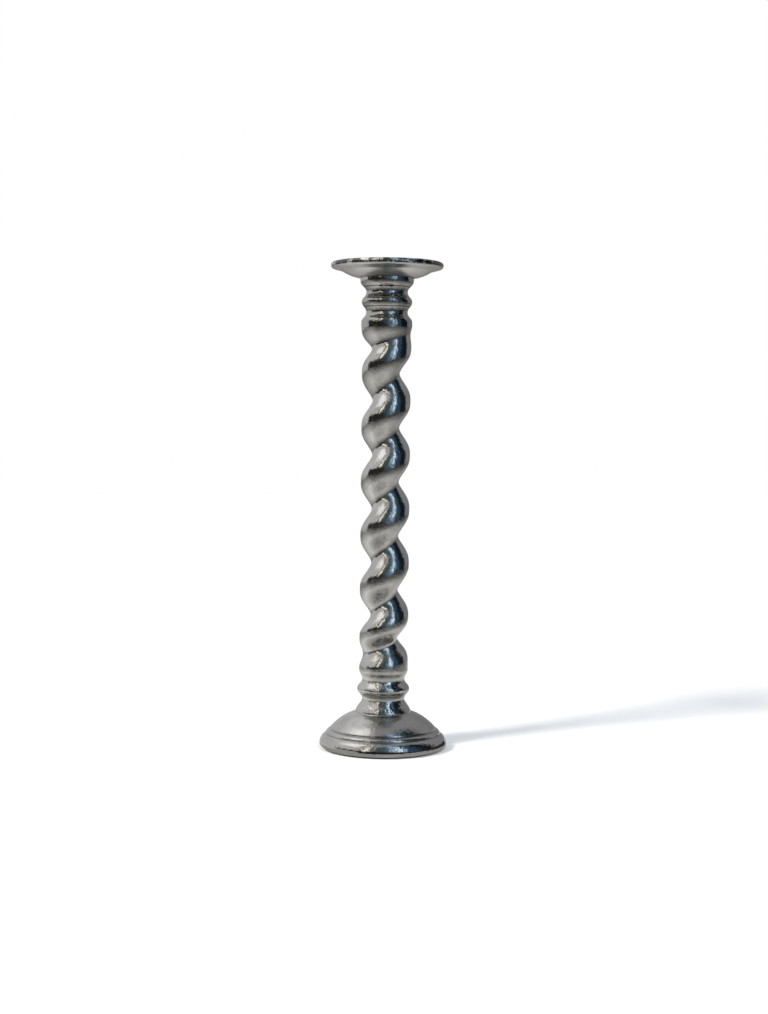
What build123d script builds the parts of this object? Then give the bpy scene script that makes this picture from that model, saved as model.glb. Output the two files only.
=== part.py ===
from build123d import *

import os
from math import ceil, cos, pi, radians, sin, sqrt

# Tall pillar candle holder: a drip plate, a barley-twist stem between two turned collars, and a domed base.
# The cast pieces are threaded on one tie rod. The rod screws into the plate's boss, and a nut under the
# base draws the stack together. Millimetres, +Z up, origin on the floor under the axis.

# Felt pad under the base
felt_thickness = 1.5
felt_inset = 1.2

# Base, from its underside to the seat of the lower collar
base_height = 36.8
base_radius = 65.7
base_foot_round = 4.2
base_band_height = 13.8
base_band_top_radius = 60.0
base_cove_width = 1.0
base_cove_height = 1.6
base_cove_depth = 0.55
base_bead_width = 3.7
base_bead_height = 2.8
base_bead_bulge = 0.6
base_dome_bulge = 2.2
base_land_height = 0.6
base_land_margin = 0.6
base_wall = 5.0
base_hub_radius = 17.0
base_hub_thickness = 9.0

# Lower collar
lower_collar_height = 38.6
lower_collar_foot_radius = 28.6
lower_collar_neck_radius = 21.9
lower_collar_ring_radius = 27.1
lower_neck_shares = (0.347, 0.865)
lower_ring_share = 0.606

# Barley-twist stem: one right-handed groove that fades out in the foot and just above the top, under the collar
stem_height = 356.7
stem_radius = 25.2
stem_foot_radius = 23.6
stem_foot_round = 5.2
stem_foot_band = 6.0
stem_top_flare = 0.9
groove_depth = 11.4
groove_power = 1.4
groove_fade = 28.0
groove_overrun = 2.0
twist_pitch = 55.6
twist_foot_angle = 153.0
twist_foot_start = 17.0
twist_foot_run = 63.0
twist_foot_quickening = 46.0
twist_top_run = 55.0
twist_top_quickening = 30.0
stem_bore_radius = 9.0

# Upper collar
upper_collar_height = 50.7
upper_collar_overhang = 0.1
upper_collar_neck_radius = 21.3
upper_collar_ring_radius = 25.9
upper_collar_lip_radius = 27.5
upper_band_share = 0.105
upper_neck_shares = (0.308, 0.711)
upper_ring_share = 0.516
upper_lip_share = 0.941

# Drip plate
plate_height = 15.7
plate_radius = 57.8
plate_underside_radius = 29.2
plate_bowl_radius = 46.4
plate_bowl_height = 6.8
plate_bowl_bulge = 1.0
plate_brim_rise = 2.2
plate_lip_width = 3.4
plate_lip_height = 3.0
plate_wall = 3.4
plate_floor_thickness = 4.6
plate_boss_radius = 11.0
plate_boss_length = 12.0
plate_thread_depth = 13.5

# Tie rod and its fastenings
rod_radius = 4.0
rod_engagement = 12.0
rod_tail = 4.0
flat_washer_radius = 14.0
flat_washer_thickness = 2.0
spring_washer_radius = 7.4
spring_washer_thickness = 2.0
spring_washer_gap = 1.2
nut_across_flats = 13.0
nut_height = 6.5

# Fits between the pieces
fit_clearance = 0.1
thread_clearance = 0.05
rod_clearance = 0.5
washer_clearance = 0.25
spigot_length = 8.0
socket_relief = 0.5

# Shares that shape the turned flanks, and the fineness of the stem's sections
flank_share = 0.48
foot_flank_share = 0.3
foot_round_shares = (0.0, 0.12, 0.3, 0.55, 0.8, 1.0)
sections_per_turn = 12
points_per_half = 12
tangent_angle = radians(0.05)

# Heights of the joints between the pieces
base_bottom = felt_thickness
base_seat = base_bottom + base_height
stem_bottom = base_seat + lower_collar_height
stem_top = stem_bottom + stem_height
plate_seat = stem_top + upper_collar_height
plate_top = plate_seat + plate_height
boss_bottom = plate_seat - plate_boss_length
hub_underside = base_seat - base_hub_thickness
flat_washer_bottom = hub_underside - flat_washer_thickness
spring_washer_bottom = flat_washer_bottom - spring_washer_thickness
nut_bottom = spring_washer_bottom - nut_height

# Radii of the fits
rod_hole_radius = rod_radius + rod_clearance
threaded_radius = rod_radius + thread_clearance
spigot_radius = stem_bore_radius - fit_clearance
socket_radius = plate_boss_radius + fit_clearance


def turned(outline):
    """Solid of revolution about Z from a closed outline of (radius, height) edges."""
    face = make_face(Plane.XZ * outline)
    return revolve(face, Axis.Z)


def flank(start, end, share=flank_share):
    """S-shaped flank between two (radius, height) points that leaves both of them along the axis."""
    lead = share * (end[1] - start[1])
    return Bezier(start, (start[0], start[1] + lead), (end[0], end[1] - lead), end)


def ring(inner, outer, bottom, height):
    """Plain washer-like ring."""
    return Pos(0, 0, bottom) * extrude(Circle(outer) - Circle(inner), height)


def make_felt_pad():
    """Disc of felt glued inside the edge of the base's standing ring."""
    radius = base_radius - base_foot_round - felt_inset
    return extrude(Circle(radius), felt_thickness)


def make_base():
    """Domed casting with a bead between two coves, hollow below, with a bored hub for the tie rod."""
    widest = (base_radius, base_bottom + base_foot_round)
    standing = (base_radius - base_foot_round, base_bottom)
    band_edge = (base_band_top_radius, base_bottom + base_band_height)
    bead_foot = (band_edge[0] - base_cove_width, band_edge[1] + base_cove_height)
    bead_edge = (bead_foot[0] - base_bead_width, bead_foot[1] + base_bead_height)
    dome_foot = (bead_edge[0] - base_cove_width, bead_edge[1] + base_cove_height)
    land_radius = lower_collar_foot_radius + base_land_margin
    dome_top = (land_radius, base_seat - base_land_height)
    seat_edge = (land_radius, base_seat)

    # The hollow follows the dome at one wall thickness
    rise, reach = dome_top[1] - dome_foot[1], dome_foot[0] - dome_top[0]
    chord = sqrt(rise**2 + reach**2)
    inward, down = base_wall * rise / chord, base_wall * reach / chord
    hollow_foot = (dome_foot[0] - inward, dome_foot[1] - down)
    hollow_top = (dome_top[0] - inward, dome_top[1] - down)

    outline = TangentArc(widest, standing, tangent=(0, -1))
    outline += TangentArc(widest, band_edge, tangent=(0, 1))
    outline += SagittaArc(band_edge, bead_foot, base_cove_depth)
    outline += SagittaArc(bead_foot, bead_edge, -base_bead_bulge)
    outline += SagittaArc(bead_edge, dome_foot, base_cove_depth)
    outline += SagittaArc(dome_foot, dome_top, -base_dome_bulge)
    outline += Polyline(dome_top, seat_edge, (rod_hole_radius, base_seat), (rod_hole_radius, hub_underside),
                        (base_hub_radius, hub_underside), (base_hub_radius, hollow_top[1]), hollow_top)
    outline += SagittaArc(hollow_top, hollow_foot, base_dome_bulge)
    outline += Polyline(hollow_foot, (hollow_foot[0], base_bottom), standing)
    return turned(outline)


def make_lower_collar():
    """Turned collar between base and stem: flared foot, neck, ring, neck and a spigot for the stem."""
    first_neck, second_neck = [
        (lower_collar_neck_radius, base_seat + share * lower_collar_height) for share in lower_neck_shares
    ]
    bulge = (lower_collar_ring_radius, base_seat + lower_ring_share * lower_collar_height)
    foot = (lower_collar_foot_radius, base_seat)
    top = (stem_foot_radius, stem_bottom)
    spigot_top = stem_bottom + spigot_length

    outline = flank(foot, first_neck, foot_flank_share)
    outline += flank(first_neck, bulge)
    outline += flank(bulge, second_neck)
    outline += TangentArc(second_neck, top, tangent=(0, 1))
    outline += Polyline(top, (spigot_radius, stem_bottom), (spigot_radius, spigot_top),
                        (rod_hole_radius, spigot_top), (rod_hole_radius, base_seat), foot)
    return turned(outline)


def smooth_step(value):
    """Ease from 0 to 1 with level ends."""
    value = min(max(value, 0), 1)
    return value * value * (3 - 2 * value)


def foot_share(rise):
    """Share of the lower run-out that is still ahead at a height above the stem's foot."""
    return smooth_step((twist_foot_start + twist_foot_run - rise) / twist_foot_run)


def top_share(rise):
    """Share of the upper run-out that is passed at a height above the stem's foot."""
    return max(rise - (stem_height + groove_overrun - twist_top_run), 0) / twist_top_run


def groove_angle(rise):
    """Azimuth of the groove at a height above the stem's foot: steady pitch, quicker at both ends."""
    steady = radians(twist_foot_angle) + 2 * pi * rise / twist_pitch
    at_foot = radians(twist_foot_quickening) * foot_share(rise)
    at_top = radians(twist_top_quickening) * top_share(rise) ** 2
    return steady - at_foot + at_top


def crest_radius(rise):
    """Radius over the crest: rounded in at the foot, slightly flared at the top."""
    inset = stem_radius - stem_foot_radius
    round_radius = (inset**2 + stem_foot_round**2) / (2 * inset)
    below = max(stem_foot_round - rise, 0)
    inward = round_radius - sqrt(round_radius**2 - below**2)
    return stem_radius - inward + stem_top_flare * top_share(rise) ** 2


def groove_share(rise):
    """How much of the full groove depth is cut at a height above the stem's foot."""
    from_foot = smooth_step((rise - stem_foot_band) / groove_fade)
    from_top = smooth_step((stem_height + groove_overrun - rise) / groove_fade)
    return from_foot * from_top


def stem_point(rise, azimuth):
    """Point on the twisted surface at a height above the stem's foot and an azimuth."""
    depth = groove_depth * groove_share(rise)
    radius = crest_radius(rise) - depth * ((1 + cos(azimuth - groove_angle(rise))) / 2) ** groove_power
    return Vector(radius * cos(azimuth), radius * sin(azimuth), stem_bottom + rise)


def stem_section(rise):
    """Closed section of the stem: two half-turn splines that meet with a common tangent."""
    edges = []
    shares = [i / points_per_half for i in range(points_per_half + 1)]
    for half in range(2):
        azimuths = [pi * (half + share) for share in shares]
        points = [stem_point(rise, azimuth) for azimuth in azimuths]
        tangents = []
        for azimuth in (azimuths[0], azimuths[-1]):
            ahead = stem_point(rise, azimuth + tangent_angle)
            behind = stem_point(rise, azimuth - tangent_angle)
            tangents.append((ahead - behind).normalized())
        edges.append(Edge.make_spline(points, tangents=tangents, parameters=shares))
    return Wire(edges)


def make_spiral_stem():
    """Barley-twist column, lofted through its sections, with a bore for the rod and the collars' spigots."""
    steps = ceil((stem_height - stem_foot_round) / twist_pitch * sections_per_turn)
    rises = [share * stem_foot_round for share in foot_round_shares]
    rises += [stem_foot_round + (stem_height - stem_foot_round) * i / steps for i in range(1, steps + 1)]
    column = Solid.make_loft([stem_section(rise) for rise in rises])
    bore = Pos(0, 0, stem_bottom) * extrude(Circle(stem_bore_radius), stem_height)
    return Part() + column - bore


def make_upper_collar():
    """Turned collar between stem and plate: spigot, band, neck, ring, neck, lip and a socket for the boss."""
    heights = [stem_top + share * upper_collar_height for share in upper_neck_shares]
    first_neck, second_neck = [(upper_collar_neck_radius, height) for height in heights]
    bulge = (upper_collar_ring_radius, stem_top + upper_ring_share * upper_collar_height)
    band_radius = stem_radius + stem_top_flare + upper_collar_overhang
    foot = (band_radius, stem_top)
    band_top = (band_radius, stem_top + upper_band_share * upper_collar_height)
    lip_foot = (upper_collar_lip_radius, stem_top + upper_lip_share * upper_collar_height)
    lip_top = (upper_collar_lip_radius, plate_seat)
    spigot_bottom = stem_top - spigot_length
    socket_floor = boss_bottom - socket_relief

    outline = Line(foot, band_top)
    outline += flank(band_top, first_neck)
    outline += flank(first_neck, bulge)
    outline += flank(bulge, second_neck)
    outline += flank(second_neck, lip_foot)
    outline += Polyline(lip_foot, lip_top, (socket_radius, plate_seat), (socket_radius, socket_floor),
                        (rod_hole_radius, socket_floor), (rod_hole_radius, spigot_bottom),
                        (spigot_radius, spigot_bottom), (spigot_radius, stem_top), foot)
    return turned(outline)


def make_drip_plate():
    """Shallow brimmed dish with a rounded lip, and a tapped boss below for the tie rod."""
    bowl_foot = (plate_underside_radius, plate_seat)
    bowl_edge = (plate_bowl_radius, plate_seat + plate_bowl_height)
    lip_centre = (plate_radius - plate_lip_width, plate_top - plate_lip_height)
    widest = (plate_radius, lip_centre[1])
    lip_top = (lip_centre[0], plate_top)
    brim_edge = (lip_centre[0], bowl_edge[1] + plate_brim_rise)
    floor = plate_seat + plate_floor_thickness
    floor_edge = (plate_underside_radius + plate_wall, floor)
    well_edge = (plate_bowl_radius - plate_bowl_bulge, bowl_edge[1] + plate_wall)
    brim_inside = (brim_edge[0] - plate_lip_width, brim_edge[1] + plate_wall)
    thread_top = boss_bottom + plate_thread_depth

    outline = SagittaArc(bowl_foot, bowl_edge, plate_bowl_bulge)
    outline += Line(bowl_edge, brim_edge)
    outline += TangentArc(widest, brim_edge, tangent=(0, -1))
    outline += EllipticalCenterArc(lip_centre, plate_lip_width, plate_lip_height)
    outline += TangentArc(lip_top, brim_inside, tangent=(-1, 0))
    outline += Line(brim_inside, well_edge)
    outline += SagittaArc(well_edge, floor_edge, -plate_bowl_bulge)
    outline += Polyline(floor_edge, (0, floor), (0, thread_top), (threaded_radius, thread_top),
                        (threaded_radius, boss_bottom), (plate_boss_radius, boss_bottom),
                        (plate_boss_radius, plate_seat), bowl_foot)
    return turned(outline)


def make_tie_rod():
    """Threaded rod drawn as a plain cylinder at its outer thread diameter."""
    rod_bottom = nut_bottom - rod_tail
    rod_top = boss_bottom + rod_engagement
    return Pos(0, 0, rod_bottom) * extrude(Circle(rod_radius), rod_top - rod_bottom)


def make_flat_washer():
    """Wide washer that bears on the underside of the base's hub."""
    return ring(rod_radius + washer_clearance, flat_washer_radius, flat_washer_bottom, flat_washer_thickness)


def make_spring_washer():
    """Split lock washer between the flat washer and the nut."""
    inner = rod_radius + washer_clearance
    whole = ring(inner, spring_washer_radius, spring_washer_bottom, spring_washer_thickness)
    slit = Box(spring_washer_radius, spring_washer_gap, spring_washer_thickness,
               align=(Align.MIN, Align.CENTER, Align.MIN))
    return whole - Pos(0, 0, spring_washer_bottom) * slit


def make_hex_nut():
    """Hexagon nut that draws the stack together."""
    hexagon = RegularPolygon(nut_across_flats / 2, side_count=6, major_radius=False)
    return Pos(0, 0, nut_bottom) * extrude(hexagon - Circle(threaded_radius), nut_height)


makers = {
    "felt_pad": make_felt_pad,
    "base": make_base,
    "lower_collar": make_lower_collar,
    "spiral_stem": make_spiral_stem,
    "upper_collar": make_upper_collar,
    "drip_plate": make_drip_plate,
    "tie_rod": make_tie_rod,
    "flat_washer": make_flat_washer,
    "spring_washer": make_spring_washer,
    "hex_nut": make_hex_nut,
}

os.makedirs("parts", exist_ok=True)
for name, maker in makers.items():
    export_step(maker(), f"parts/{name}.step")
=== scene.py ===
import math

import bpy
import numpy as np
from mathutils import Matrix, Vector, noise


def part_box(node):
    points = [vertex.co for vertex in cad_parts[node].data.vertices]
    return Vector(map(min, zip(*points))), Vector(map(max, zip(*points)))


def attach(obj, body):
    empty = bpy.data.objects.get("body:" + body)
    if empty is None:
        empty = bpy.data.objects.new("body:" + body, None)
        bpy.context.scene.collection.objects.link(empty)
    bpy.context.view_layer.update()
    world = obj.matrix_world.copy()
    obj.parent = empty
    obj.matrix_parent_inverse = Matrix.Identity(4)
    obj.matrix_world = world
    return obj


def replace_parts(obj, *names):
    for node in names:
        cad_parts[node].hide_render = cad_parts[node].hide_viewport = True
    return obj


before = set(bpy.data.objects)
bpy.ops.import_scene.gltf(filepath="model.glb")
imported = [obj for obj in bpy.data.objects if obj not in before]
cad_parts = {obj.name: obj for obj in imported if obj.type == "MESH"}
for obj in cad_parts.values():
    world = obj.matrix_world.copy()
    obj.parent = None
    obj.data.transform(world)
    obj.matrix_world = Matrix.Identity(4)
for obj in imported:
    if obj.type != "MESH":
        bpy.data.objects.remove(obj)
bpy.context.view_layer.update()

# Spiral candle holder in polished nickel: turned collars, barley-twist stem, domed base and brimmed plate.
# Metres, +Z up, the photograph's viewer stands at -Y.

# Heights and outer radii of the pieces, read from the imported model
base_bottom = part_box("base")[0].z
base_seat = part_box("base")[1].z
base_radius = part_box("base")[1].x
stem_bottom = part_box("spiral_stem")[0].z
stem_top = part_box("spiral_stem")[1].z
lower_spigot_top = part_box("lower_collar")[1].z
upper_spigot_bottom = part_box("upper_collar")[0].z
plate_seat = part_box("upper_collar")[1].z
plate_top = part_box("drip_plate")[1].z
plate_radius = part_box("drip_plate")[1].x
boss_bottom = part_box("drip_plate")[0].z
felt_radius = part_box("felt_pad")[1].x
lower_collar_height = stem_bottom - base_seat
stem_height = stem_top - stem_bottom
upper_collar_height = plate_seat - stem_top

# Base
base_foot_round = 0.0042
base_band_height = 0.0138
base_band_top_radius = 0.0600
base_cove_width = 0.0010
base_cove_height = 0.0016
base_cove_depth = 0.00055
base_bead_width = 0.0037
base_bead_height = 0.0028
base_bead_bulge = 0.0006
base_dome_bulge = 0.0022
base_land_height = 0.0006
base_land_radius = 0.0292
base_wall = 0.0050
base_hub_radius = 0.0170
base_hub_thickness = 0.0090

# Collars
lower_foot_radius = 0.0286
lower_neck_radius = 0.0219
lower_ring_radius = 0.0271
lower_neck_shares = (0.347, 0.865)
lower_ring_share = 0.606
upper_band_radius = 0.0262
upper_neck_radius = 0.0213
upper_ring_radius = 0.0259
upper_lip_radius = 0.0275
upper_band_share = 0.105
upper_neck_shares = (0.308, 0.711)
upper_ring_share = 0.516
upper_lip_share = 0.941
flank_share = 0.48
foot_flank_share = 0.30
spigot_radius = 0.0089
rod_hole_radius = 0.0045

# Barley-twist stem
stem_radius = 0.0252
stem_foot_radius = 0.0236
stem_foot_round = 0.0052
stem_foot_band = 0.0060
stem_top_flare = 0.0009
stem_bore_radius = 0.0090
groove_depth = 0.0114
groove_power = 1.4
groove_fade = 0.0280
groove_overrun = 0.0020
twist_pitch = 0.0556
twist_foot_angle = math.radians(153)
twist_foot_start = 0.0170
twist_foot_run = 0.0630
twist_foot_quickening = math.radians(46)
twist_top_run = 0.0550
twist_top_quickening = math.radians(30)

# Drip plate
plate_underside_radius = 0.0292
plate_bowl_radius = 0.0464
plate_bowl_height = 0.0068
plate_bowl_bulge = 0.0010
plate_brim_rise = 0.0022
plate_lip_width = 0.0034
plate_lip_height = 0.0030
plate_wall = 0.0034
plate_floor_thickness = 0.0046
boss_radius = 0.0110
socket_radius = 0.0111
socket_relief = 0.0005
thread_radius = 0.00405
thread_depth = 0.0135

# Fineness of the meshes
arc_steps = 48
hollow_step = 6
outline_step = 0.0002
longest_step = 0.0012
largest_turn = math.radians(5)
wide_segments = 224
collar_segments = 144
stem_segments = 144
stem_row_step = 0.0010
sharp_corner = math.radians(50)
smallest_length = 1e-9

# Rounding of the corners by polish, with its reach as a multiple, and the unevenness of the casting
corner_softness = 0.00035
softness_reach = 4
wave_lengths = (0.0140, 0.0065)
wave_heights = (0.00010, 0.00004)
joint_fade = 0.0030


def arc_from(start, end, tangent):
    """Points of the arc that leaves start along tangent and reaches end."""
    start, end, along = Vector(start), Vector(end), Vector(tangent).normalized()
    across = Vector((-along.y, along.x))
    chord = end - start
    sideways, ahead = chord.dot(across), chord.dot(along)
    radius = chord.length_squared / (2 * sideways)
    sweep = 2 * math.atan2(sideways, ahead)
    angles = [sweep * i / arc_steps for i in range(arc_steps + 1)]
    return [start + radius * (math.sin(a) * along + (1 - math.cos(a)) * across) for a in angles]


def bulged(start, end, bulge):
    """Points of the arc from start to end that bulges to the right of the way by the given height."""
    chord = Vector(end) - Vector(start)
    half_sweep = 2 * math.atan(2 * bulge / chord.length)
    tangent = Vector((chord.x * math.cos(half_sweep) + chord.y * math.sin(half_sweep),
                      chord.y * math.cos(half_sweep) - chord.x * math.sin(half_sweep)))
    return arc_from(start, end, tangent)


def flank(start, end, share=flank_share):
    """Points of the S-shaped flank that leaves both of its ends along the axis."""
    start, end = Vector(start), Vector(end)
    lead = Vector((0, share * (end.y - start.y)))
    points = []
    for i in range(arc_steps + 1):
        t = i / arc_steps
        near, far = (1 - t) * (1 - t), t * t
        ends = near * (1 - t) * start, far * t * end
        leads = 3 * near * t * (start + lead), 3 * (1 - t) * far * (end - lead)
        points.append(ends[0] + leads[0] + leads[1] + ends[1])
    return points


def way_along(points):
    """Length of the way from the first point of an outline to each of its points."""
    return np.r_[0, np.cumsum(np.hypot(*np.diff(points, axis=0).T))]


def softened(*runs):
    """Joins runs of an outline and rounds its corners as polishing does, with both ends kept in place."""
    points = np.array([tuple(p) for run in runs for p in run])
    gaps = np.hypot(*np.diff(points, axis=0).T)
    points = points[np.r_[True, gaps > smallest_length]]
    way = way_along(points)
    even = np.linspace(0, way[-1], int(way[-1] / outline_step) + 1)
    fine = np.stack([np.interp(even, way, points[:, k]) for k in range(2)], 1)
    reach = int(softness_reach * corner_softness / outline_step)
    weights = np.exp(-0.5 * (np.arange(-reach, reach + 1) * outline_step / corner_softness) ** 2)
    weights /= weights.sum()
    padded = np.concatenate([2 * fine[0] - fine[reach:0:-1], fine, 2 * fine[-1] - fine[-2:-reach - 2:-1]])
    smooth = np.stack([np.convolve(padded[:, k], weights, "valid") for k in range(2)], 1)
    return thinned(smooth)


def thinned(points):
    """Keeps the points of a fine outline that its curves and the longest step need."""
    kept = [0]
    for i in range(1, len(points) - 1):
        step = points[i] - points[kept[-1]]
        first, last = points[kept[-1] + 1] - points[kept[-1]], points[i + 1] - points[i]
        turn = abs(math.atan2(first[0] * last[1] - first[1] * last[0], first.dot(last)))
        if turn > largest_turn or math.hypot(*step) > longest_step:
            kept.append(i)
    kept.append(len(points) - 1)
    return points[kept]


def unevenness(place):
    """Height of the casting's slight waviness at a place on its surface."""
    return sum(height * noise.noise(place / length) for length, height in zip(wave_lengths, wave_heights))


def azimuths(count):
    """Evenly spaced angles round the axis."""
    return [2 * math.pi * k / count for k in range(count)]


def around(radius, angle, height):
    """Place at a radius, an angle round the axis and a height."""
    return Vector((radius * math.cos(angle), radius * math.sin(angle), height))


def faces_between(rings):
    """Faces from each ring to the next and from the last to the first, where a ring may be one point."""
    faces = []
    for low, high in zip(rings, rings[1:] + rings[:1]):
        if low[0] == low[1] and high[0] == high[1]:
            continue
        for k in range(len(low)):
            after = (k + 1) % len(low)
            corners = (low[k], low[after], high[after], high[k])
            faces.append(list(dict.fromkeys(corners)))
    return faces


def new_piece(name, vertices, faces, material):
    """Smooth mesh piece that rides on the one rigid body."""
    mesh = bpy.data.meshes.new(name)
    mesh.from_pydata([tuple(v) for v in vertices], [], faces)
    mesh.validate()
    mesh.polygons.foreach_set("use_smooth", [True] * len(mesh.polygons))
    mesh.set_sharp_from_angle(angle=sharp_corner)
    mesh.materials.append(material)
    piece = bpy.data.objects.new(name, mesh)
    bpy.context.collection.objects.link(piece)
    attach(piece, "root")
    return piece


def refinish(piece, material, chosen):
    """Gives a second material to the faces whose centres are chosen."""
    piece.data.materials.append(material)
    for face in piece.data.polygons:
        if chosen(face.center):
            face.material_index = 1


def lathe(name, shown, hidden, segments, material, waviness=1.0):
    """Turned piece: a shown outline with the casting's waviness, closed by the hidden corners of bores."""
    way = way_along(shown)
    slopes = np.gradient(shown, way, axis=0)
    normals = np.stack([slopes[:, 1], -slopes[:, 0]], 1)
    normals /= np.linalg.norm(normals, axis=1)[:, None]
    fades = np.clip(np.minimum(way, way[-1] - way) / joint_fade, 0, 1)
    outline = [tuple(p) for p in shown] + list(hidden)
    vertices, rings = [], []
    for i, (radius, height) in enumerate(outline):
        if radius < smallest_length:
            rings.append([len(vertices)] * segments)
            vertices.append(Vector((0, 0, height)))
            continue
        rings.append(list(range(len(vertices), len(vertices) + segments)))
        for angle in azimuths(segments):
            place = around(radius, angle, height)
            if i < len(shown):
                lift = float(waviness * fades[i] * unevenness(place))
                across, along = normals[i]
                place += lift * around(across, angle, along)
            vertices.append(place)
    return new_piece(name, vertices, faces_between(rings), material)


def make_felt_pad(material):
    """Felt disc with slightly rounded edges."""
    top, edge = base_bottom, felt_radius
    shown = softened([(0, 0), (edge, 0), (edge, top), (0, top)])
    return lathe("felt_disc", shown, [], wide_segments, material, waviness=0.0)


def make_base(material, dome_material):
    """Domed, stepped casting, hollow below, with a duller dome."""
    band_top = base_bottom + base_band_height
    widest = (base_radius, base_bottom + base_foot_round)
    standing = (base_radius - base_foot_round, base_bottom)
    band_edge = (base_band_top_radius, band_top)
    bead_foot = (band_edge[0] - base_cove_width, band_edge[1] + base_cove_height)
    bead_edge = (bead_foot[0] - base_bead_width, bead_foot[1] + base_bead_height)
    dome_foot = (bead_edge[0] - base_cove_width, bead_edge[1] + base_cove_height)
    dome_top = (base_land_radius, base_seat - base_land_height)
    seat_edge = (base_land_radius, base_seat)
    shown = softened(
        reversed(arc_from(widest, standing, (0, -1))),
        arc_from(widest, band_edge, (0, 1)),
        bulged(band_edge, bead_foot, -base_cove_depth),
        bulged(bead_foot, bead_edge, base_bead_bulge),
        bulged(bead_edge, dome_foot, -base_cove_depth),
        bulged(dome_foot, dome_top, base_dome_bulge),
        [dome_top, seat_edge, (lower_foot_radius, base_seat)],
    )
    chord = Vector(dome_top) - Vector(dome_foot)
    inset = base_wall * Vector((-chord.y, chord.x)).normalized()
    hollow_top, hollow_foot = Vector(dome_top) + inset, Vector(dome_foot) + inset
    hollow = bulged(hollow_foot, hollow_top, base_dome_bulge)
    hub_underside = base_seat - base_hub_thickness
    hidden = [
        (rod_hole_radius, base_seat),
        (rod_hole_radius, hub_underside),
        (base_hub_radius, hub_underside),
        (base_hub_radius, hollow_top.y),
        *[tuple(p) for p in reversed(hollow[::hollow_step])],
        (hollow_foot.x, base_bottom),
    ]
    base = lathe("base_cast", shown, hidden, wide_segments, material)
    refinish(base, dome_material, lambda centre: centre.z > dome_foot[1])
    return base


def make_lower_collar(material):
    """Turned collar between base and stem."""
    heights = [base_seat + share * lower_collar_height for share in lower_neck_shares]
    first_neck, second_neck = [(lower_neck_radius, height) for height in heights]
    bulge = (lower_ring_radius, base_seat + lower_ring_share * lower_collar_height)
    shown = softened(
        flank((lower_foot_radius, base_seat), first_neck, foot_flank_share),
        flank(first_neck, bulge),
        flank(bulge, second_neck),
        arc_from(second_neck, (stem_foot_radius, stem_bottom), (0, 1)),
    )
    hidden = [
        (spigot_radius, stem_bottom),
        (spigot_radius, lower_spigot_top),
        (rod_hole_radius, lower_spigot_top),
        (rod_hole_radius, base_seat),
    ]
    return lathe("lower_collar_cast", shown, hidden, collar_segments, material)


def smooth_step(value):
    """Ease from 0 to 1 with level ends."""
    value = min(max(value, 0), 1)
    return value * value * (3 - 2 * value)


def foot_share(rise):
    """Share of the lower run-out that is still ahead at a height above the stem's foot."""
    return smooth_step((twist_foot_start + twist_foot_run - rise) / twist_foot_run)


def top_share(rise):
    """Share of the upper run-out that is passed at a height above the stem's foot."""
    return max(rise - (stem_height + groove_overrun - twist_top_run), 0) / twist_top_run


def groove_angle(rise):
    """Azimuth of the groove at a height above the stem's foot: steady pitch, quicker at both ends."""
    steady = twist_foot_angle + 2 * math.pi * rise / twist_pitch
    at_foot = twist_foot_quickening * foot_share(rise)
    at_top = twist_top_quickening * top_share(rise) ** 2
    return steady - at_foot + at_top


def crest_radius(rise):
    """Radius over the crest: rounded in at the foot, slightly flared at the top."""
    inset = stem_radius - stem_foot_radius
    round_radius = (inset**2 + stem_foot_round**2) / (2 * inset)
    below = max(stem_foot_round - rise, 0)
    inward = round_radius - math.sqrt(round_radius**2 - below**2)
    return stem_radius - inward + stem_top_flare * top_share(rise) ** 2


def groove_share(rise):
    """How much of the full groove depth is cut at a height above the stem's foot."""
    from_foot = smooth_step((rise - stem_foot_band) / groove_fade)
    from_top = smooth_step((stem_height + groove_overrun - rise) / groove_fade)
    return from_foot * from_top


def make_spiral_stem(material):
    """Barley-twist column with its bore, as rows of points up the stem."""
    rows = round(stem_height / stem_row_step)
    angles = azimuths(stem_segments)
    vertices = []
    for i in range(rows + 1):
        rise = stem_height * i / rows
        centre, crest = groove_angle(rise), crest_radius(rise)
        depth = groove_depth * groove_share(rise)
        fade = min(min(rise, stem_height - rise) / joint_fade, 1)
        for angle in angles:
            radius = crest - depth * ((1 + math.cos(angle - centre)) / 2) ** groove_power
            place = around(radius, angle, stem_bottom + rise)
            vertices.append(place + fade * unevenness(place) * around(1, angle, 0))
    for height in (stem_top, stem_bottom):
        vertices += [around(stem_bore_radius, angle, height) for angle in angles]
    starts = range(0, len(vertices), stem_segments)
    rings = [list(range(start, start + stem_segments)) for start in starts]
    return new_piece("spiral_stem_cast", vertices, faces_between(rings), material)


def make_upper_collar(material):
    """Turned collar between stem and plate."""
    heights = [stem_top + share * upper_collar_height for share in upper_neck_shares]
    first_neck, second_neck = [(upper_neck_radius, height) for height in heights]
    bulge = (upper_ring_radius, stem_top + upper_ring_share * upper_collar_height)
    band_top = (upper_band_radius, stem_top + upper_band_share * upper_collar_height)
    lip_foot = (upper_lip_radius, stem_top + upper_lip_share * upper_collar_height)
    socket_floor = boss_bottom - socket_relief
    shown = softened(
        [(upper_band_radius, stem_top), band_top],
        flank(band_top, first_neck),
        flank(first_neck, bulge),
        flank(bulge, second_neck),
        flank(second_neck, lip_foot),
        [lip_foot, (upper_lip_radius, plate_seat)],
    )
    hidden = [
        (socket_radius, plate_seat),
        (socket_radius, socket_floor),
        (rod_hole_radius, socket_floor),
        (rod_hole_radius, upper_spigot_bottom),
        (spigot_radius, upper_spigot_bottom),
        (spigot_radius, stem_top),
    ]
    return lathe("upper_collar_cast", shown, hidden, collar_segments, material)


# Height above the brim's edge from which the plate's lip is bright, with painted glints and painted dark
# reflection
plate_lip_rise = 0.0018


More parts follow.
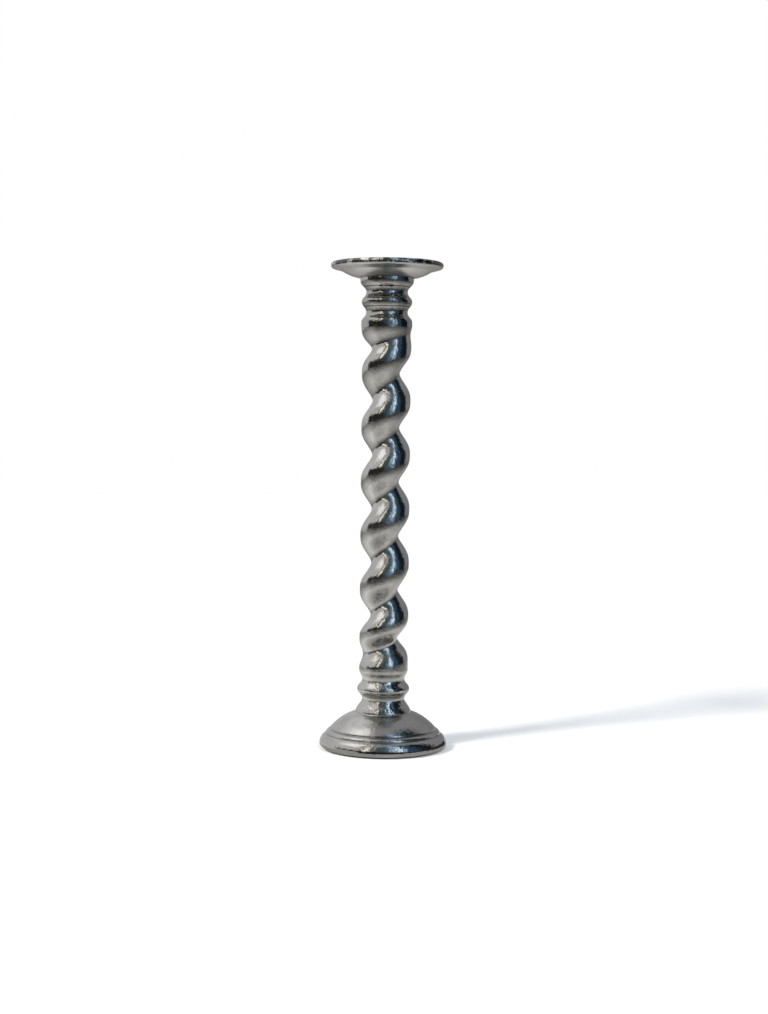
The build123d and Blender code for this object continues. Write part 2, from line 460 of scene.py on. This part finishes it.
def make_drip_plate(material, lip_material):
    """Shallow brimmed dish with a bright rounded lip painted with glints and dark reflection, and a tapped
    boss below.
    """
    bowl_foot = (plate_underside_radius, plate_seat)
    bowl_edge = (plate_bowl_radius, plate_seat + plate_bowl_height)
    widest = (plate_radius, plate_top - plate_lip_height)
    brim_edge = (plate_radius - plate_lip_width, bowl_edge[1] + plate_brim_rise)
    lip_top = (plate_radius - plate_lip_width, plate_top)
    floor = plate_seat + plate_floor_thickness
    floor_edge = (plate_underside_radius + plate_wall, floor)
    well_edge = (plate_bowl_radius - plate_bowl_bulge, bowl_edge[1] + plate_wall)
    brim_inside = (brim_edge[0] - plate_lip_width, brim_edge[1] + plate_wall)
    thread_top = boss_bottom + thread_depth
    shown = softened(
        [(upper_lip_radius, plate_seat), bowl_foot],
        bulged(bowl_foot, bowl_edge, plate_bowl_bulge),
        [bowl_edge, brim_edge],
        reversed(arc_from(widest, brim_edge, (0, -1))),
        arc_from(widest, lip_top, (0, 1)),
        arc_from(lip_top, brim_inside, (-1, 0)),
        [brim_inside, well_edge],
        bulged(well_edge, floor_edge, -plate_bowl_bulge),
        [floor_edge, (0, floor)],
    )
    hidden = [
        (0, thread_top),
        (thread_radius, thread_top),
        (thread_radius, boss_bottom),
        (boss_radius, boss_bottom),
        (boss_radius, plate_seat),
    ]
    plate = lathe("drip_plate_cast", shown, hidden, wide_segments, material)
    lip_radius, lip_bottom = brim_edge[0], brim_edge[1] + plate_lip_rise
    refinish(plate, lip_material, lambda centre: centre.xy.length > lip_radius and centre.z > lip_bottom)
    return plate


class Nodes:
    """Short way to add nodes to one node tree and link them."""

    # Numbers of a colour mix's factor, first and second colour, and of its result
    mix_inputs = (0, 6, 7)
    mix_output = 2

    def __init__(self, tree):
        self.tree = tree

    def fill(self, node, inputs):
        """Fills inputs by name or number with values or with other nodes' outputs."""
        for key, value in dict(inputs).items():
            if isinstance(value, bpy.types.NodeSocket):
                self.tree.links.new(value, node.inputs[key])
            else:
                node.inputs[key].default_value = value

    def add(self, kind, inputs=(), **settings):
        """Adds a node, sets its options and fills its inputs."""
        node = self.tree.nodes.new(kind)
        for key, value in settings.items():
            setattr(node, key, value)
        self.fill(node, inputs)
        return node

    def place(self):
        """Place on the object."""
        return self.add("ShaderNodeTexCoord").outputs["Object"]

    def axes(self, vector):
        """X, Y and Z of a vector."""
        return self.add("ShaderNodeSeparateXYZ", {0: vector}).outputs

    def noise(self, place, scale, detail, distortion=0.0):
        """Noise from 0 to 1."""
        inputs = {"Vector": place, "Scale": scale, "Detail": detail, "Distortion": distortion}
        return self.add("ShaderNodeTexNoise", inputs).outputs["Fac"]

    def cells(self, place, scale):
        """Distance from the middle of scattered cells."""
        return self.add("ShaderNodeTexVoronoi", {"Vector": place, "Scale": scale}).outputs["Distance"]

    def math(self, operation, *values):
        """Output of a math node."""
        return self.add("ShaderNodeMath", enumerate(values), operation=operation).outputs[0]

    def ramp(self, value, low, high, start=0.0, end=1.0):
        """Smooth change from start to end while the input goes from low to high."""
        inputs = {"Value": value, "From Min": low, "From Max": high, "To Min": start, "To Max": end}
        return self.add("ShaderNodeMapRange", inputs, interpolation_type="SMOOTHSTEP").outputs["Result"]

    def band(self, value, low, high, soft):
        """1 between low and high with soft ends, 0 elsewhere."""
        rise = self.ramp(value, low - soft, low + soft)
        fall = self.ramp(value, high - soft, high + soft, 1.0, 0.0)
        return self.math("MULTIPLY", rise, fall)

    def bearing(self, axes):
        """Angle round the axis, from the viewer to the right."""
        return self.math("ARCTAN2", axes["X"], self.math("MULTIPLY", axes["Y"], -1.0))

    def mix(self, share, first, second):
        """Colour between two colours."""
        inputs = zip(self.mix_inputs, (share, first, second))
        return self.add("ShaderNodeMix", inputs, data_type="RGBA").outputs[self.mix_output]

    def bump(self, height, strength, distance):
        """Normal of a surface with a fine relief."""
        inputs = {"Height": height, "Strength": strength, "Distance": distance}
        return self.add("ShaderNodeBump", inputs).outputs["Normal"]


def new_material(name):
    """Empty node material with its shader."""
    material = bpy.data.materials.new(name)
    material.use_nodes = True
    nodes = Nodes(material.node_tree)
    shader = material.node_tree.nodes["Principled BSDF"]
    return material, nodes, shader


# Nickel plate: shades of cloudy and clear metal, and the relief of the casting below it, in cells per metre
nickel_shades = ((0.38, 0.375, 0.36), (0.44, 0.435, 0.425))
nickel_edge_tint = (0.70, 0.70, 0.72, 1)
cloud_scale = 60.0
cloud_colour_limits = (0.35, 0.65)
cloud_rough_limits = (0.3, 0.7)
ripple_scale = 260.0
grain_scale = 900.0
grain_share = 0.2
pit_scale = 260.0
pit_reach = 0.12
pit_depth = 0.35
dent_power = 2.0

# Dark colour painted in as shade in the base's coves, as dark reflected lines on the upper collar, and as
# dark reflection in spots on the lip
painted_dark_colour = (0.06, 0.06, 0.065, 1)
painted_dark_edge = 0.0003
dark_reflection_scale = 110.0
dark_reflection_limits = (0.50, 0.60)

# Recesses that the polishing wheel doesn't reach: rougher, with a pale yellowish colour painted in as their
# reflection
painted_recess_reflection = (0.56, 0.555, 0.51, 1)
painted_recess_share = 0.8
recess_rough = 0.30
recess_edge = 0.0008


def nickel_finish(name, rough, ripple, ripple_height=0.0004, tone=1.0, dents=0.0, dark_reflection_share=0.0,
                  painted_dark_bands=(), painted_dark_share=0.4, unpolished_painted_pale=()):
    """Bright, cloudy plate over a rippled, pitted casting, with painted dark reflection in spots, painted
    dark bands of shade and reflection, or duller bands with a painted pale reflection at some heights.
    """
    material, nodes, shader = new_material(name)
    place = nodes.place()
    height = nodes.axes(place)["Z"]
    cloud = nodes.noise(place, cloud_scale, detail=4.0)
    dim, clear = [tuple(tone * part for part in shade) + (1,) for shade in nickel_shades]
    colour = nodes.mix(nodes.ramp(cloud, *cloud_colour_limits), dim, clear)
    roughness = nodes.ramp(cloud, *cloud_rough_limits, *rough)
    # Dark reflection painted on in noisy spots
    if dark_reflection_share:
        painted_dark_reflection = nodes.ramp(nodes.noise(place, dark_reflection_scale, detail=3.0), *dark_reflection_limits, dark_reflection_share, 0.0)
        colour = nodes.mix(painted_dark_reflection, colour, painted_dark_colour)
    # Dark bands painted in at the given heights, as shade in coves and as dark reflection
    for low, high in painted_dark_bands:
        line = nodes.band(height, low, high, painted_dark_edge)
        colour = nodes.mix(nodes.math("MULTIPLY", line, painted_dark_share), colour, painted_dark_colour)
    # Duller bands: more roughness and a painted pale reflection colour
    for low, high in unpolished_painted_pale:
        recess = nodes.band(height, low, high, recess_edge)
        colour = nodes.mix(nodes.math("MULTIPLY", recess, painted_recess_share), colour, painted_recess_reflection)
        roughness = nodes.math("ADD", roughness, nodes.math("MULTIPLY", recess, recess_rough))
    grain = nodes.math("MULTIPLY", nodes.noise(place, grain_scale, detail=2.0), grain_share)
    relief = nodes.math("ADD", nodes.noise(place, ripple_scale, detail=2.0), grain)
    pits = nodes.cells(place, pit_scale)
    relief = nodes.math("ADD", relief, nodes.ramp(pits, 0.0, pit_reach, -pit_depth, 0.0))
    if dents:
        dented = nodes.math("MULTIPLY", nodes.math("POWER", pits, dent_power), -dents)
        relief = nodes.math("ADD", relief, dented)
    nodes.fill(shader, {
        "Base Color": colour,
        "Roughness": roughness,
        "Normal": nodes.bump(relief, ripple, ripple_height),
        "Metallic": 1.0,
        "Specular Tint": nickel_edge_tint,
    })
    return material


# Zinc-plated steel
zinc_shades = ((0.50, 0.51, 0.53, 1), (0.66, 0.67, 0.70, 1))
zinc_grain_limits = (0.3, 0.7)
zinc_rough = (0.25, 0.42)


def zinc_steel():
    """Zinc-plated steel with a faint spangle."""
    material, nodes, shader = new_material("zinc_steel")
    place = nodes.place()
    spangle = nodes.cells(place, scale=700.0)
    grain = nodes.noise(place, scale=1500.0, detail=3.0)
    nodes.fill(shader, {
        "Base Color": nodes.mix(spangle, *zinc_shades),
        "Roughness": nodes.ramp(grain, *zinc_grain_limits, *zinc_rough),
        "Normal": nodes.bump(grain, strength=0.3, distance=0.0001),
        "Metallic": 1.0,
    })
    return material


# Felt
felt_shades = ((0.025, 0.025, 0.028, 1), (0.14, 0.14, 0.15, 1))


def grey_felt():
    """Pressed wool felt: mottled dark grey with short crossing fibres."""
    material, nodes, shader = new_material("grey_felt")
    place = nodes.place()
    mottle = nodes.noise(place, scale=450.0, detail=6.0)
    fibres = nodes.noise(place, scale=2200.0, detail=4.0, distortion=2.5)
    nodes.fill(shader, {
        "Base Color": nodes.mix(nodes.math("MULTIPLY", mottle, fibres), *felt_shades),
        "Normal": nodes.bump(fibres, strength=0.9, distance=0.0004),
        "Roughness": 0.95,
        "Sheen Weight": 0.4,
    })
    return material


# Bands of the nickel pieces: dark lines painted in as reflection, and duller bands with a painted pale
# reflection
upper_line_shares = (0.403, 0.804)
upper_line_height = 0.0012
recess_drop = 0.0006
recess_rise = 0.0050


def upper_collar_lines():
    """Lowest and highest edges of the dark lines painted on the upper collar as dark reflection."""
    feet = [stem_top + share * upper_collar_height for share in upper_line_shares]
    return [(foot, foot + upper_line_height) for foot in feet]


def lower_collar_recesses():
    """Lowest and highest edges of the duller undersides above the lower collar's necks, which get a painted
    pale reflection.
    """
    necks = [base_seat + share * lower_collar_height for share in lower_neck_shares]
    return [(neck - recess_drop, neck + recess_rise) for neck in necks]


def base_coves():
    """Lowest and highest edges of the coves below and above the base's bead."""
    first = base_bottom + base_band_height
    second = first + base_cove_height + base_bead_height
    return [(foot, foot + base_cove_height) for foot in (first, second)]


def make_holder():
    """All the pieces with their finishes, where the rod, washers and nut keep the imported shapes."""
    # The base's band gets shade painted dark into its two coves
    band = nickel_finish("band_nickel", rough=(0.09, 0.15), ripple=0.7, ripple_height=0.0005,
                         painted_dark_bands=base_coves())
    dome = nickel_finish("dull_nickel", rough=(0.17, 0.25), ripple=0.7)
    # Lower collar: pale reflection painted into the undersides above its necks
    bright = nickel_finish("bright_nickel", rough=(0.05, 0.09), ripple=0.7, dents=0.9,
                           unpolished_painted_pale=lower_collar_recesses())
    soft = nickel_finish("soft_nickel", rough=(0.10, 0.16), ripple=0.6)
    # Upper collar: a darker copy of the nickel as painted shade under the plate, with painted dark
    # reflection lines
    painted_shade = nickel_finish("painted_shade_nickel", rough=(0.05, 0.09), ripple=0.7, tone=0.85, dents=0.7,
                           painted_dark_bands=upper_collar_lines(), painted_dark_share=0.8)
    satin = nickel_finish("satin_nickel", rough=(0.30, 0.38), ripple=0.10, tone=1.18)
    # Lip: a brighter tone with noisy dark spots, as painted glints and painted dark reflection
    lip = nickel_finish("lip_painted_glint_nickel", rough=(0.05, 0.10), ripple=0.8, ripple_height=0.0008, tone=1.7,
                        dark_reflection_share=0.9)
    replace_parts(make_base(band, dome), "base")
    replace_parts(make_lower_collar(bright), "lower_collar")
    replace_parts(make_spiral_stem(soft), "spiral_stem")
    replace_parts(make_upper_collar(painted_shade), "upper_collar")
    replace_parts(make_drip_plate(satin, lip), "drip_plate")
    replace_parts(make_felt_pad(grey_felt()), "felt_pad")
    steel = zinc_steel()
    for node in ("tie_rod", "flat_washer", "spring_washer", "hex_nut"):
        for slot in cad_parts[node].material_slots:
            slot.material = steel


# Pale floor
floor_half_width = 6.0
floor_shades = ((0.90, 0.90, 0.90, 1), (0.93, 0.93, 0.93, 1))
floor_mottle_scale = 3.0

# Glowing board that the polish mirrors in the floor's place: painted floor light, set by distance and
# bearing from the foot, with a painted shadow round the foot
board_half_width = 3.0
board_rise = 0.0001
board_colour = (1.0, 0.99, 0.96, 1)
board_front_fade = 0.21
board_front_light = 0.88
board_side_fade = 0.60
board_side_light = 1.25
board_left_bearings = (math.radians(-88), math.radians(-42))
board_back_bearings = (math.radians(100), math.radians(150))
board_painted_shadow_radius = 0.07
board_painted_shadow_end = 0.20
board_painted_shadow_share = 0.60
board_mottle_scale = 9.0
board_mottle_limits = (0.3, 0.7)
board_mottle_shares = (0.85, 1.15)

# Low dark flags before the foot, which the polish mirrors too
flag_left = -0.05
flag_reach = 0.085
flag_back = 0.03
flag_height = 0.012
flag_shades = ((0.01, 0.01, 0.012, 1), (0.05, 0.05, 0.06, 1))
flag_mottle_scale = 40.0


def matt_sheet(name, shades, mottle_scale):
    """Matt sheet with a slight mottle between two shades."""
    material, nodes, shader = new_material(name)
    mottle = nodes.noise(nodes.place(), mottle_scale, detail=3.0)
    colour = nodes.mix(mottle, *shades)
    nodes.fill(shader, {"Base Color": colour, "Roughness": 0.9, "Specular IOR Level": 0.1})
    return material


def glowing_board():
    """Sheet whose glow is painted floor light: dim at the foot as a painted shadow, and fading with the
    distance, less so to the left and behind.
    """
    material, nodes, shader = new_material("glowing_board")
    place = nodes.place()
    reach = nodes.add("ShaderNodeVectorMath", {0: place}, operation="LENGTH").outputs["Value"]
    bearing = nodes.bearing(nodes.axes(place))
    front = nodes.math("DIVIDE", board_front_fade, reach)
    front = nodes.math("MINIMUM", front, board_front_light)
    aside = nodes.math("DIVIDE", board_side_fade, nodes.math("SQRT", reach))
    aside = nodes.math("MINIMUM", aside, board_side_light)
    left = nodes.ramp(bearing, *board_left_bearings, 1.0, 0.0)
    behind = nodes.ramp(bearing, *board_back_bearings)
    extra = nodes.math("MULTIPLY", nodes.math("SUBTRACT", aside, front), nodes.math("ADD", left, behind))
    glow = nodes.math("ADD", front, extra)
    # Painted shadow of the holder round the foot
    painted_foot_shadow = nodes.ramp(reach, board_painted_shadow_radius, board_painted_shadow_end, board_painted_shadow_share, 1.0)
    glow = nodes.math("MULTIPLY", glow, painted_foot_shadow)
    mottle = nodes.noise(place, board_mottle_scale, detail=3.0)
    glow = nodes.math("MULTIPLY", glow, nodes.ramp(mottle, *board_mottle_limits, *board_mottle_shares))
    nodes.fill(shader, {
        "Emission Strength": glow,
        "Emission Color": board_colour,
        "Base Color": (0, 0, 0, 1),
        "Specular IOR Level": 0.0,
    })
    return material


def make_sheet(name, corners, material):
    """Flat four-cornered sheet of the studio."""
    mesh = bpy.data.meshes.new(name)
    mesh.from_pydata(corners, [], [(0, 1, 2, 3)])
    mesh.materials.append(material)
    sheet = bpy.data.objects.new(name, mesh)
    bpy.context.collection.objects.link(sheet)
    return sheet


def level_square(half, height):
    """Corners of a level square about the axis."""
    return [(-half, -half, height), (half, -half, height), (half, half, height), (-half, half, height)]


def upright(start, end, height):
    """Corners of an upright rectangle on the floor."""
    return [(*start, 0), (*end, 0), (*end, height), (*start, height)]


def make_mirrored_sheet(name, corners, material):
    """Sheet that shows in the polish alone."""
    sheet = make_sheet(name, corners, material)
    sheet.visible_camera = False
    sheet.visible_diffuse = False
    sheet.visible_shadow = False


def make_surroundings():
    """Pale floor for the camera, and the board and flags that the polish mirrors."""
    paper = matt_sheet("pale_floor", floor_shades, floor_mottle_scale)
    floor = make_sheet("floor", level_square(floor_half_width, 0), paper)
    floor.visible_glossy = False
    make_mirrored_sheet("board", level_square(board_half_width, board_rise), glowing_board())
    card = matt_sheet("dark_flag", flag_shades, flag_mottle_scale)
    left, corner, back = (flag_left, -flag_reach), (flag_reach, -flag_reach), (flag_reach, flag_back)
    make_mirrored_sheet("front_flag", upright(left, corner, flag_height), card)
    make_mirrored_sheet("right_flag", upright(corner, back, flag_height), card)


# White for the camera, and the sky that lights the floor
camera_light = (1, 1, 1, 1)
sky_light = (0.58, 0.62, 0.67, 1)

# Walls, ceiling and far floor of the dim room that the polish mirrors, and the waviness of all its edges
wall_light = (0.96, 0.96, 0.97, 1)
ceiling_light = (1.20, 1.20, 1.19, 1)
far_floor_light = (0.40, 0.40, 0.40, 1)
horizon_limits = (math.radians(-6), math.radians(2))
ceiling_limits = (math.radians(30), math.radians(70))
edge_wobble = math.radians(9)
wobble_scale = 7.0
wobble_middle = 0.5

# Patches of the room, painted one over the other: bearing from the viewer to the right, elevation and
# softness of the edges, in degrees, and light
room_patches = [
    # Overhead, behind to the right, and the bright window high on the left
    ((-180, 180), (66, 100), 7, (0.45, 0.45, 0.45, 1)),
    ((102, 180), (-40, 75), 8, (0.42, 0.425, 0.44, 1)),
    ((-112, -57), (44, 74), 6, (1.90, 1.88, 1.85, 1)),
    # Dark front of the room and its floor
    ((-92, 106), (-16, 14), 5, (0.035, 0.036, 0.034, 1)),
    ((-60, 106), (0, 60), 5, (0.035, 0.036, 0.034, 1)),
    ((0, 72), (-20, 4), 8, (0.12, 0.15, 0.17, 1)),
    # Warm wall on the left with its bright strips
    ((-90, -58), (15, 44), 5, (0.90, 0.88, 0.84, 1)),
    ((-58, -13), (13, 62), 5, (0.24, 0.235, 0.21, 1)),
    ((-56, -50), (14, 56), 3, (1.90, 1.85, 1.70, 1)),
    ((-36, -28), (11, 58), 4, (2.9, 2.8, 2.5, 1)),
    # Blue window on the right with its bright strips, between dark edges
    ((-15, 6), (2, 72), 5, (0.09, 0.14, 0.16, 1)),
    ((6, 24), (-2, 74), 6, (0.16, 0.26, 0.36, 1)),
    ((24, 46), (-4, 76), 6, (0.45, 0.68, 0.95, 1)),
    ((31, 36), (6, 66), 3, (3.0, 3.4, 3.8, 1)),
    ((17, 20), (10, 44), 2, (1.5, 1.8, 2.1, 1)),
    ((46, 74), (-4, 74), 6, (0.05, 0.11, 0.18, 1)),
    ((72, 106), (-25, 68), 6, (0.012, 0.017, 0.022, 1)),
]


def room_light(nodes):
    """Colour of the dim room in each direction."""
    direction = nodes.add("ShaderNodeTexCoord").outputs["Generated"]
    wobble = nodes.math("SUBTRACT", nodes.noise(direction, wobble_scale, detail=3.0), wobble_middle)
    shift = nodes.math("MULTIPLY", wobble, edge_wobble)
    axes = nodes.axes(direction)
    bearing = nodes.math("ADD", nodes.bearing(axes), shift)
    elevation = nodes.math("ADD", nodes.math("ARCSINE", axes["Z"]), shift)
    colour = nodes.mix(nodes.ramp(elevation, *horizon_limits), far_floor_light, wall_light)
    colour = nodes.mix(nodes.ramp(elevation, *ceiling_limits), colour, ceiling_light)
    for sides, heights, soft, light in room_patches:
        edge = math.radians(soft)
        across = nodes.band(bearing, *map(math.radians, sides), edge)
        up = nodes.band(elevation, *map(math.radians, heights), edge)
        colour = nodes.mix(nodes.math("MULTIPLY", across, up), colour, light)
    return colour


def make_world():
    """White surroundings, with a dim room that only the polish mirrors."""
    world = bpy.data.worlds.new("studio")
    world.use_nodes = True
    bpy.context.scene.world = world
    tree = world.node_tree
    tree.nodes.clear()
    nodes = Nodes(tree)
    lights = (room_light(nodes), sky_light, camera_light)
    room, sky, white = [nodes.add("ShaderNodeBackground", {"Color": light}).outputs[0] for light in lights]
    path = nodes.add("ShaderNodeLightPath").outputs
    unseen = nodes.add("ShaderNodeMixShader", {0: path["Is Glossy Ray"], 1: sky, 2: room}).outputs[0]
    surround = nodes.add("ShaderNodeMixShader", {0: path["Is Camera Ray"], 1: unseen, 2: white}).outputs[0]
    nodes.add("ShaderNodeOutputWorld", {"Surface": surround})


# Sunlike key light from the left of the viewer, which casts the holder's soft shadow
key_direction = Vector((0.80, 0.56, -0.84))
key_softness = math.radians(12)
key_strength = 2.6
key_colour = (1.0, 0.96, 0.91)

# Small lamp in front that whitens the floor round the foot
fill_place = Vector((0.14, -0.42, 0.30))
fill_size = 0.25
fill_power = 1.6


def make_lights():
    """Soft key light and a small fill, which the polish doesn't mirror."""
    sun = bpy.data.lights.new("key", "SUN")
    sun.angle = key_softness
    sun.energy = key_strength
    sun.color = key_colour
    key = bpy.data.objects.new("key", sun)
    key.rotation_euler = key_direction.to_track_quat("-Z", "Y").to_euler()
    lamp = bpy.data.lights.new("fill", "AREA")
    lamp.shape = "DISK"
    lamp.size = fill_size
    lamp.energy = fill_power
    fill = bpy.data.objects.new("fill", lamp)
    fill.location = fill_place
    for light in (key, fill):
        light.visible_glossy = False
        light.visible_camera = False
        bpy.context.collection.objects.link(light)


# Camera of the photograph
camera_place = Vector((-0.001, -1.690, 0.334))
camera_pitch = math.radians(2.856)
camera_roll = math.radians(0.55)
camera_lens = 58.30
camera_film = 36.0
camera_near = 0.01


def make_camera():
    """Camera at the photograph's angle, rolled as the photograph is."""
    data = bpy.data.cameras.new("camera")
    data.sensor_fit = "VERTICAL"
    data.sensor_height = camera_film
    data.lens = camera_lens
    data.clip_start = camera_near
    camera = bpy.data.objects.new("camera", data)
    turn = Matrix.Rotation(math.pi / 2 - camera_pitch, 4, "X") @ Matrix.Rotation(camera_roll, 4, "Z")
    camera.matrix_world = Matrix.Translation(camera_place) @ turn
    bpy.context.collection.objects.link(camera)
    bpy.context.scene.camera = camera


make_holder()
make_surroundings()
make_world()
make_lights()
make_camera()
bpy.context.scene.view_settings.view_transform = "Standard"
